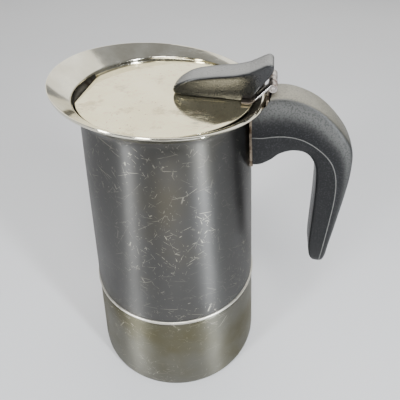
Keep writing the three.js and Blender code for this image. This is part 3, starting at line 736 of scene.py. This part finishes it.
flats = cut(flats, on_valve_axis("valve_bore", brass, bore_rows))
show(valve, "valve_brass", "valve_body")
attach(flats, "boiler")
washer = [(4.4, 48.0, 0.2), (6.4, 48.0, 0.3), (6.4, 49.2, 0.3), (4.4, 49.2, 0.2)]
show(on_valve_axis("valve_washer_fine", rubber, washer, True), "seal_rubber", "valve_washer")
plunger = [
    (0, 45.2, 0),
    (2.1, 45.2, 0.2),
    (2.1, 46.4, 0.2),
    (0.9, 46.8, 0.2),
    (0.9, 58.4, 0),
    (0.75, 58.9, 0.3),
    (0, 59.15, 0),
]
show(on_valve_axis("valve_plunger_fine", brass, plunger), "valve_brass", "valve_plunger")
dress("valve_nut", brass)
dress("valve_spring", spring_steel)

# ---- funnel and seal pack ----

basket_rows = [
    (4.2, 43.0, 0.1),
    (10, 43.0, 0.2),
    (10.4, 43.3, 0.3),
    (24, 43.3, 0.3),
    (24.4, 43.0, 0.2),
    (33.8, 43.0, 1.6),
    (33.8, 50, 0),
    (33.8, 66.7, 0.4),
    (35.9, 66.7, 0.2),
    (35.9, 67.3, 0.2),
    (33.3, 67.3, 0.5),
    (33.0, 66, 0.4),
    (33.0, 43.8, 1.2),
    (4.2, 43.8, 0.1),
]
show(turned("funnel_basket_fine", inner_steel, basket_rows), "inner_steel", "funnel_basket")
stem_rows = [
    (4.2, 7.0, 0.2),
    (5.1, 7.0, 0.2),
    (5.2, 7.8, 0.3),
    (5.2, 22, 0),
    (5.5, 22.6, 0.3),
    (5.2, 23.2, 0.3),
    (5.2, 39.4, 1.6),
    (10.2, 42.4, 0.3),
    (10.2, 42.7, 0.1),
    (4.2, 42.7, 0.1),
]
show(turned("funnel_stem_fine", inner_steel, stem_rows, True, SMALL * 2), "inner_steel", "funnel_stem")
dress("funnel_strainer", inner_steel)
gasket_rows = [(27.0, 67.6, 0.5), (36.0, 67.6, 0.6), (36.0, 70.4, 0.6), (27.0, 70.4, 0.5)]
show(turned("gasket_ring_fine", rubber, gasket_rows), "seal_rubber", "gasket_ring")
dress("filter_plate", inner_steel)

# ---- collector ----

FLARE_OUTSIDE = [
    (38.4, 154),
    (THROAT_RADIUS, THROAT_Z),
    (38.6, 162.3),
    (40.6, 165.0),
    (42.8, 166.9),
    (46.15, 169.1),
]
FLARE_INSIDE = [(45.7, 170.1), (42.5, 168.35), (39.8, 166.75)]
LID_SEAT = [(39.55, 166.45), (39.25, 164.9), (37.75, 162.7), (36.9, 160)]
outside = smooth_curve(FLARE_OUTSIDE, 6)
inside = smooth_curve(FLARE_INSIDE, 6)
seat = smooth_curve(LID_SEAT, 5)
body_rows = [(wall_radius(COLLECTOR_FOOT_Z), COLLECTOR_FOOT_Z, 0.2), (wall_radius(BEND_Z), BEND_Z, 8)]
body_rows += [(r, z, 0) for r, z in outside[4:]]
body_rows += [(46.3, 169.55, 0), (46.25, 169.85, 0), (46.0, 170.1, 0)]
body_rows += [(r, z, 0) for r, z in inside + seat]
body_rows += [
    (wall_radius(BEND_Z) - 1, BEND_Z, 8),
    (wall_radius(COLLECTOR_FOOT_Z) - 1, COLLECTOR_FOOT_Z, 0.2),
]
collector = turned("collector_body_fine", wall_steel, body_rows, shape=shape_rim, sharp=30)
collector.data.materials.append(rim_steel)
collector.data.materials.append(seat_shade_steel)
for face in collector.data.polygons:
    middle = face.center
    faces_in = face.normal.dot(Vector((middle.x, middle.y, 0))) < 0
    # Inward faces of the lid seat below SLOT_TOP_Z and short of SLOT_END_Y get the painted-shade steel.
    in_slot = faces_in and middle.y < SLOT_END_Y * MM and middle.z < SLOT_TOP_Z * MM
    if middle.z > FLARE_Z * MM:
        face.material_index = 2 if in_slot else 1
show(collector, "polished_steel", "collector_body")

seam_rows = [
    (44, 57.4, 0),
    (45.7, 57.4, 0.5),
    (46.25, 57.9, 0.7),
    (46.25, 58.6, 0.7),
    (45.75, 59.2, 0.4),
    (44, 59.2, 0),
]
show(turned("seam_ring_fine", seam_steel, seam_rows, steps=5), "polished_steel", "seam_ring")
collar_rows = [
    *thread_rows(COLLAR_THREAD_RADIUS, 58.2, 70.9, 50),
    (38.2, 70.9, 0.3),
    (38.2, 58.9, 0.3),
    (43.6, 58.9, 0.2),
    (43.6, 57.9, 0.2),
    (36.5, 57.9, 0.2),
]
collar = threaded("threaded_collar_fine", inner_steel, collar_rows, COLLAR_THREAD_RADIUS, 58.4, 67.5, True)
show(collar, "inner_steel", "threaded_collar")
floor_rows = [
    (4.4, FLOOR_Z, 0.1),
    (43.0, FLOOR_Z, 0.3),
    (43.0, FLOOR_Z + FLOOR_THICKNESS, 0.3),
    (4.4, FLOOR_Z + FLOOR_THICKNESS, 0.1),
]
show(turned("collector_floor_fine", inner_steel, floor_rows), "inner_steel", "collector_floor")
column_rows = [
    (4.0, COLUMN_FOOT_Z, 0.1),
    (11.0, COLUMN_FOOT_Z, 0.3),
    (11.0, COLUMN_FOOT_Z + 0.9, 0.5),
    (7.9, COLUMN_FOOT_Z + 3.3, 1.6),
    (7.2, 84, 0),
    (5.2, 129.9, 0.3),
    (4.0, 130, 0.2),
]
show(turned("coffee_column_fine", inner_steel, column_rows, True, SMALL * 2), "inner_steel", "coffee_column")
cap_rows = [
    (0, 136.0, 0),
    (5.7, 134.8, 0.4),
    (5.7, 126.0, 0.2),
    (6.8, 126.0, 0.3),
    (7.1, 132.0, 0.6),
    (6.0, 136.0, 1.0),
    (2.5, 136.95, 1.0),
    (0, 137.0, 0),
]
cap = turned("column_cap_fine", inner_steel, cap_rows, False, SMALL * 2)
window_rows = [(0, -12, 0), (2, -12, 0), (2, 12, 0), (0, 12, 0)]
window = place(turned("cap_window", inner_steel, window_rows, False, SMALL // 2), along_y(132.6))
show(cut(cap, window), "inner_steel", "column_cap")

# ---- handle bracket and hinge ----


def bracket():
    """Curved steel strip between the wall and the handle, with two welded dimples."""
    rings = []
    rows, columns = 44, 24
    for side, offset in ((1, 1.5), (-1, 0.3)):
        for i in range(rows + 1):
            z = BRACKET_LOW_Z + (BRACKET_HIGH_Z - BRACKET_LOW_Z) * (i if side > 0 else rows - i) / rows
            ring = []
            for k in range(columns + 1):
                y = -BRACKET_HALF_WIDTH + 2 * BRACKET_HALF_WIDTH * k / columns
                from_dimple = min(abs(z - height) for height in DIMPLE_HEIGHTS)
                near = 1 - math.hypot(y / DIMPLE_RADIUS, from_dimple / DIMPLE_RADIUS)
                dent = max(0, near) if side > 0 else 0
                radius = wall_radius(z) + offset - 0.35 * min(1, dent * 2)
                ring.append((math.sqrt(radius**2 - y**2), y, z))
            rings.append(ring)
    bm, made = rings_to_mesh(rings, around=False, along=True)
    for end in (0, -1):
        column = [ring[end] for ring in made]
        half = len(column) // 2
        for i in range(half - 1):
            bm.faces.new([column[i], column[i + 1], column[-2 - i], column[-1 - i]])
    return finish_mesh("handle_bracket_fine", bm, bracket_steel, 40)


show(bracket(), "hinge_steel", "handle_bracket")


def circle_outline(x, z, radius):
    angles = [2 * math.pi * i / 32 for i in range(32)]
    return [(x + radius * math.cos(angle), z + radius * math.sin(angle), 0) for angle in angles]


def knuckle(name, y0, y1):
    """Rolled barrel round the hinge pin."""
    barrel = side_plate(name, hinge_steel, circle_outline(*HINGE, KNUCKLE_RADIUS), y0, y1, 0.25)
    hole = side_plate("hole", hinge_steel, circle_outline(*HINGE, PIN_HOLE_RADIUS), y0 - 1, y1 + 1, 0.05)
    return cut(barrel, hole)


hinge_x, hinge_z = HINGE
plate_low = (ARM_INSIDE_X, -BRACKET_HALF_WIDTH, 156.1)
plate_high = (ARM_OUTSIDE_X, BRACKET_HALF_WIDTH, 167.9)
plate = box_mesh("hinge_bracket_fine", bracket_steel, plate_low, plate_high, 0.3)
arm_outline = [
    (ARM_INSIDE_X, 166.9, 0.1),
    (ARM_OUTSIDE_X, 166.9, 0.1),
    (ARM_OUTSIDE_X, hinge_z - 2.6, 0.6),
    (hinge_x + 0.75, hinge_z - 1.5, 0.3),
    (hinge_x - 0.8, hinge_z - 0.9, 0.3),
    (ARM_INSIDE_X, hinge_z - 1.7, 0.6),
]
arm = side_plate("hinge_bracket_arm", hinge_steel, arm_outline, -2.6, 2.6, 0.2)
middle = knuckle("hinge_bracket_knuckle", -2.65, 2.65)
show(plate, "hinge_steel", "hinge_bracket")
for piece in (arm, middle):
    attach(piece, "collector")
pin_rows = [
    (0, -8.45, 0),
    (0.6, -8.4, 0.2),
    (0.88, -8.15, 0.2),
    (0.88, 8.15, 0.2),
    (0.6, 8.4, 0.2),
    (0, 8.45, 0),
]
pin = turned("hinge_pin_fine", hinge_steel, pin_rows, False, SMALL)
place(pin, Matrix.Translation((hinge_x, 0, 0)) @ along_y(hinge_z))
show(pin, "hinge_steel", "hinge_pin")

# ---- handle ----

# Stations along the handle: inner x, z, outer x, z, half width, and the share of the way
# from inner to outer at which the mould seam lies.
HANDLE_STATIONS = [
    (36.0, 136.1, 36.0, 166.4, 9.2, 0.49),
    (43.0, 136.2, 43.0, 168.2, 9.3, 0.47),
    (48.3, 139.2, 49.2, 169.7, 9.3, 0.43),
    (52.2, 142.9, 57.0, 168.9, 9.3, 0.38),
    (57.8, 145.0, 66.5, 164.9, 9.3, 0.335),
    (63.8, 143.9, 75.4, 157.5, 9.3, 0.31),
    (68.3, 138.2, 82.5, 148.0, 9.3, 0.4),
    (70.1, 130.2, 84.7, 137.0, 9.25, 0.54),
    (71.3, 119.0, 85.05, 123.0, 9.15, 0.63),
    (72.4, 104.0, 84.5, 106.0, 9.0, 0.66),
    (73.5, 89.0, 83.8, 90.0, 8.6, 0.68),
    (74.9, 80.6, 83.6, 81.4, 7.8, 0.66),
    (77.0, 76.7, 82.9, 77.4, 6.8, 0.62),
    (78.7, 75.6, 81.8, 75.8, 5.4, 0.55),
]


def handle_section(length, half, seam_share):
    """Half outline from the inner face's middle to the outer face's middle: (depth, half width, mark).

    A mark of 1 is the seam, where a light line is painted, and up to 0.4 is how strongly a highlight is
    painted on the shoulder.
    """
    size = min(1, length / 13)
    foot = half - 1.2 * size
    foot_round = 1.5 * size
    seam = seam_share * length
    rows = []
    for turn in (0, 30, 60, 90):
        angle = math.radians(turn)
        rows.append((foot_round * (1 - math.cos(angle)), foot - foot_round * (1 - math.sin(angle)), 0))
    for t in (0.35, 0.7):
        depth = foot_round + (seam - 0.3 - foot_round) * t
        rows.append((depth, foot + (half - foot) * math.sin(t * math.pi / 2), 0))
    rows += [(seam - 0.3, half - 0.02, 0), (seam, half + 0.1 * size, 1), (seam + 0.3, half - 0.02, 0)]
    reach = length - 0.55 * size - seam - 0.3
    # The shoulder's mark values set how strongly a highlight is painted there.
    for turn, shoulder_glint in ((12, 0), (24, 0.1), (36, 0.26), (48, 0.4), (60, 0.34), (71, 0.24), (81, 0.16)):
        angle = math.radians(turn)
        narrowing = 1.9 * size * (1 - math.cos(angle)) / 0.84
        rows.append((seam + 0.3 + reach * math.sin(angle), half - narrowing, shoulder_glint * min(1, reach / 11)))
    rows += [(length - 0.42 * size, half - 2.3 * size, 0.1), (length - 0.3 * size, half - 2.85 * size, 0)]
    rows += [(length - 0.1 * size, half * 0.45, 0)]
    return rows


# Height and radius of the handle's front face beside the flare.
HANDLE_FRONT = [
    (THROAT_Z, 39.7),
    (162.3, 40.6),
    (164.0, 42.4),
    (165.2, 44.6),
    (166.5, 45.3),
    (168, 45.6),
    (169.7, 46.6),
]


def wall_front(z):
    """How far out the handle's front face starts at a height, clear of bracket and rim."""
    if z <= THROAT_Z:
        return wall_radius(z) + 1.8
    for (z0, r0), (z1, r1) in zip(HANDLE_FRONT, HANDLE_FRONT[1:]):
        if z <= z1:
            return r0 + (r1 - r0) * (z - z0) / (z1 - z0)
    return HANDLE_FRONT[-1][1]


def handle():
    """Hooked grip swept through its stations, with a slot in front for the hinge bracket."""
    rings = []
    marks = []
    for ix, iz, ox, oz, half, seam_share in smooth_curve(HANDLE_STATIONS, 9):
        inner, outer = Vector((ix, iz)), Vector((ox, oz))
        length = (outer - inner).length
        across = (outer - inner) / length
        rows = handle_section(length, half, seam_share)
        left = [(inner + across * d, -w, m) for d, w, m in rows]
        right = [(inner + across * d, w, m) for d, w, m in rows]
        ring = [(inner, 0, 0)] + left + [(inner + across * length, 0, 0)] + right[::-1]
        rings.append([(p.x, y, p.y) for p, y, m in ring])
        marks.append([m for p, y, m in ring])
    fixed = []
    for ring in rings:
        moved = []
        for x, y, z in ring:
            front = wall_front(z)
            if x < 50 and math.hypot(x, y) < front:
                x = math.sqrt(front**2 - y**2)
            moved.append((x, y, z))
        fixed.append(moved)
    bm, made = rings_to_mesh(fixed, marks=marks)
    for ring in (made[0], made[-1]):
        close_end(bm, ring)
    grip = finish_mesh("handle_fine", bm, handle_black, 38)
    slot = box_mesh("slot", handle_black, (38.0, -7.7, 155.8), (45.4, 7.7, 175.0), 0.1)
    return cut(grip, slot)


show(handle(), "handle_plastic", "handle")
dress("handle_stud_1", hinge_steel)
dress("handle_stud_2", hinge_steel)

# ---- lid ----


def lid():
    """Flat disc with a straight front edge and rolled edges."""
    edge = [
        (-0.35, LID_TOP),
        (-0.1, LID_TOP - 0.08),
        (0.0, LID_TOP - 0.3),
        (-0.1, LID_UNDERSIDE + 0.1),
        (-0.35, LID_UNDERSIDE),
    ]
    rows = [(share, 0, LID_TOP) for share in (0.02, 0.25, 0.5, 0.75, 0.93)]
    rows += [(1.0, inset, z) for inset, z in edge]
    rows += [(share, 0, LID_UNDERSIDE) for share in (0.93, 0.5, 0.02)]
    rings = []
    for share, inset, z in rows:
        ring = []
        for i in range(FINE * 2):
            angle = math.pi * i / FINE
            reach = LID_RADIUS
            if math.cos(angle) < 0:
                reach = min(reach, LID_FRONT / -math.cos(angle))
            radius = reach * share + inset
            ring.append((radius * math.cos(angle), radius * math.sin(angle), z))
        rings.append(ring)
    bm, made = rings_to_mesh(rings)
    bm.faces.new(made[0])
    bm.faces.new(made[-1][::-1])
    return finish_mesh("lid_disc_fine", bm, lid_sheet, 50)


show(lid(), "polished_steel", "lid_disc")


def leaf_outline(share):
    """Side outline of the lid's leaf, up to a share of its rise over the hinge pin."""
    run, rise = hinge_x - LEAF_BEND_X, hinge_z - PAD_Z - LEAF_THICKNESS
    slope = math.atan2(rise, run) + math.asin(KNUCKLE_RADIUS / math.hypot(run, rise))
    length = share * math.sqrt(run**2 + rise**2 - KNUCKLE_RADIUS**2)
    top = PAD_Z + LEAF_THICKNESS
    end_x, end_z = LEAF_BEND_X + length * math.cos(slope), top + length * math.sin(slope)
    under = LEAF_BEND_X + LEAF_THICKNESS * math.tan(slope / 2)
    return [
        (LEAF_START_X, PAD_Z, 0.15),
        (under, PAD_Z, 1.0),
        (end_x + LEAF_THICKNESS * math.sin(slope), end_z - LEAF_THICKNESS * math.cos(slope), 0.15),
        (end_x, end_z, 0.15),
        (LEAF_BEND_X, top, 1.0),
        (LEAF_START_X, top, 0.15),
    ]


for index, (y0, y1) in enumerate(((-7.95, -3.05), (3.05, 7.95))):
    strip = side_plate(f"lid_leaf_strip_{index + 1}", leaf_steel, leaf_outline(1), y0, y1, 0.2)
    barrel = knuckle(f"lid_leaf_knuckle_{index + 1}", y0, y1)
    for piece in (strip, barrel):
        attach(piece, "lid")
bridge = side_plate("lid_leaf_bridge", leaf_steel, leaf_outline(0.68), -3.1, 3.1, 0.2)
show(bridge, "hinge_steel", "lid_hinge_leaf")

# Stations along the knob: bottom x, z, top x, z, bottom half width, top half width.
KNOB_STATIONS = [
    (4.1, PAD_Z, 3.7, 167.3, 0.5, 0.9),
    (5.0, PAD_Z, 4.6, 169.6, 1.7, 3.0),
    (7.6, PAD_Z, 7.8, 172.4, 2.9, 4.9),
    (12.6, PAD_Z, 13.4, 175.0, 3.8, 6.1),
    (21.0, PAD_Z, 22.6, 176.6, 4.4, 6.5),
    (29.0, PAD_Z, 31.0, 177.7, 4.8, 6.55),
    (33.0, PAD_Z, 35.8, 178.9, 5.0, 6.55),
    (33.4, 166.95, 36.3, 179.1, 5.0, 6.55),
    (36.9, 166.95, 38.6, 180.2, 5.3, 6.55),
    (38.4, 168.15, 40.0, 180.9, 5.6, 6.5),
    (41.9, 173.3, 42.2, 182.0, 5.9, 6.45),
    (44.4, 177.0, 43.7, 182.45, 6.0, 6.35),
    (45.4, 178.7, 44.9, 182.0, 5.9, 6.05),
    (45.65, 179.7, 45.5, 181.3, 5.2, 5.3),
]


def knob():
    """Thumb knob swept through its stations, widest near its top."""
    rings = []
    for bx, bz, tx, tz, low, high in smooth_curve(KNOB_STATIONS, 7):
        bottom, top = Vector((bx, bz)), Vector((tx, tz))
        height = (top - bottom).length
        up = (top - bottom) / height
        lip = min(1.3, height * 0.3)
        rows = [(0, low - 0.8 * lip), (0.25 * lip, low - 0.25 * lip)]
        for t in (0.12, 0.3, 0.5, 0.7, 0.86):
            rows.append((t * (height - lip), low + (high - low) * (0.25 * t + 0.75 * t**2.2)))
        rows += [(height - lip, high), (height - 0.55 * lip, high + 0.02), (height - 0.2 * lip, high - 0.22)]
        rows += [(height - 0.04 * lip, high - 0.7), (height, high * 0.5)]
        left = [(bottom + up * d, -w) for d, w in rows]
        right = [(bottom + up * d, w) for d, w in rows]
        ring = [(bottom, 0)] + left + [(top, 0)] + right[::-1]
        rings.append([(p.x, y, p.y) for p, y in ring])
    bm, made = rings_to_mesh(rings)
    for ring in (made[0], made[-1]):
        close_end(bm, ring)
    return finish_mesh("lid_knob_fine", bm, knob_black, 42)


show(knob(), "knob_plastic", "lid_knob")

rivet_rows = [
    (0, 163.5, 0),
    (2.0, 163.65, 0.8),
    (2.95, 164.3, 0.3),
    (2.95, 164.5, 0.1),
    (1.3, 164.5, 0.1),
    (1.3, RIVET_TOP, 0.2),
    (0, RIVET_TOP, 0),
]
for index, x in enumerate(RIVET_PLACES):
    rivet = turned(f"knob_rivet_{index + 1}_fine", hinge_steel, rivet_rows, False, SMALL)
    place(rivet, Matrix.Translation((x, 0, 0)))
    show(rivet, "hinge_steel", f"knob_rivet_{index + 1}")

# ---- camera ----

camera_data = bpy.data.cameras.new("camera")
camera_data.sensor_width = 36
camera_data.lens = 36.105
camera = bpy.data.objects.new("camera", camera_data)
bpy.context.scene.collection.objects.link(camera)
yaw = Matrix.Rotation(math.radians(8.88), 4, "Z")
pitch = Matrix.Rotation(math.pi / 2 - math.radians(39.68), 4, "X")
roll = Matrix.Rotation(math.radians(-0.49), 4, "Z")
camera.matrix_world = Matrix.Translation((0.0402, -0.1611, 0.2412)) @ (yaw @ pitch @ roll)
camera_data.clip_start = 0.005
bpy.context.scene.camera = camera

# ---- floor and light ----


def floor_material():
    s = Shader("floor_pale", (0.66, 0.66, 0.67), 0.75)
    place = s.object_space()
    tone = s.mix(s.noise(place, 3), (0.62, 0.62, 0.63), (0.69, 0.69, 0.70))
    s.feed(tone, s.bsdf.inputs["Base Color"])
    return s.material


bm = bmesh.new()
bmesh.ops.create_grid(bm, x_segments=8, y_segments=8, size=3)
ground = finish_mesh("floor", bm, floor_material())
ground.location.z = -0.0002


def area_light(name, location, target, size, energy, color=(1, 1, 1)):
    data = bpy.data.lights.new(name, "AREA")
    data.shape = "RECTANGLE"
    data.size, data.size_y = size
    data.energy = energy
    data.color = color
    light = bpy.data.objects.new(name, data)
    bpy.context.scene.collection.objects.link(light)
    light.location = location
    light.rotation_euler = (Vector(target) - Vector(location)).to_track_quat("-Z", "Y").to_euler()


area_light("back_panel", (0.06, 0.82, 0.74), (0, 0, 0.15), (1.9, 0.95), 8.2, (1.0, 0.98, 0.92))
area_light("front_panel", (0.09, -0.45, 0.88), (0, 0, 0.1), (0.32, 0.3), 6.2)
area_light("left_panel", (-0.475, -0.607, 0.4), (0, 0, 0.1), (0.13, 0.6), 6.6, (0.95, 0.98, 1.0))
area_light("right_panel", (0.575, -0.45, 0.4), (0, 0, 0.1), (0.07, 0.6), 8.2, (0.9, 0.95, 1.0))

world = bpy.data.worlds.new("world")
bpy.context.scene.world = world
world.use_nodes = True
tree = world.node_tree
background = tree.nodes["Background"]
direction = tree.nodes.new("ShaderNodeTexCoord")
split = tree.nodes.new("ShaderNodeSeparateXYZ")
tree.links.new(direction.outputs["Generated"], split.inputs[0])


def world_level(socket, low, high, to_low, to_high):
    """Brightness that follows one axis of the direction looked in."""
    level = tree.nodes.new("ShaderNodeMapRange")
    tree.links.new(socket, level.inputs[0])
    for place, number in zip((1, 2, 3, 4), (low, high, to_low, to_high)):
        level.inputs[place].default_value = number
    return level.outputs[0]


product = tree.nodes.new("ShaderNodeMath")
product.operation = "MULTIPLY"
tree.links.new(world_level(split.outputs[1], -0.7, 0.8, 0.16, 0.7), product.inputs[0])
tree.links.new(world_level(split.outputs[2], 0.0, 0.7, 0.45, 1.0), product.inputs[1])
tree.links.new(product.outputs[0], background.inputs["Strength"])
background.inputs["Color"].default_value = (0.95, 0.97, 1.0, 1)
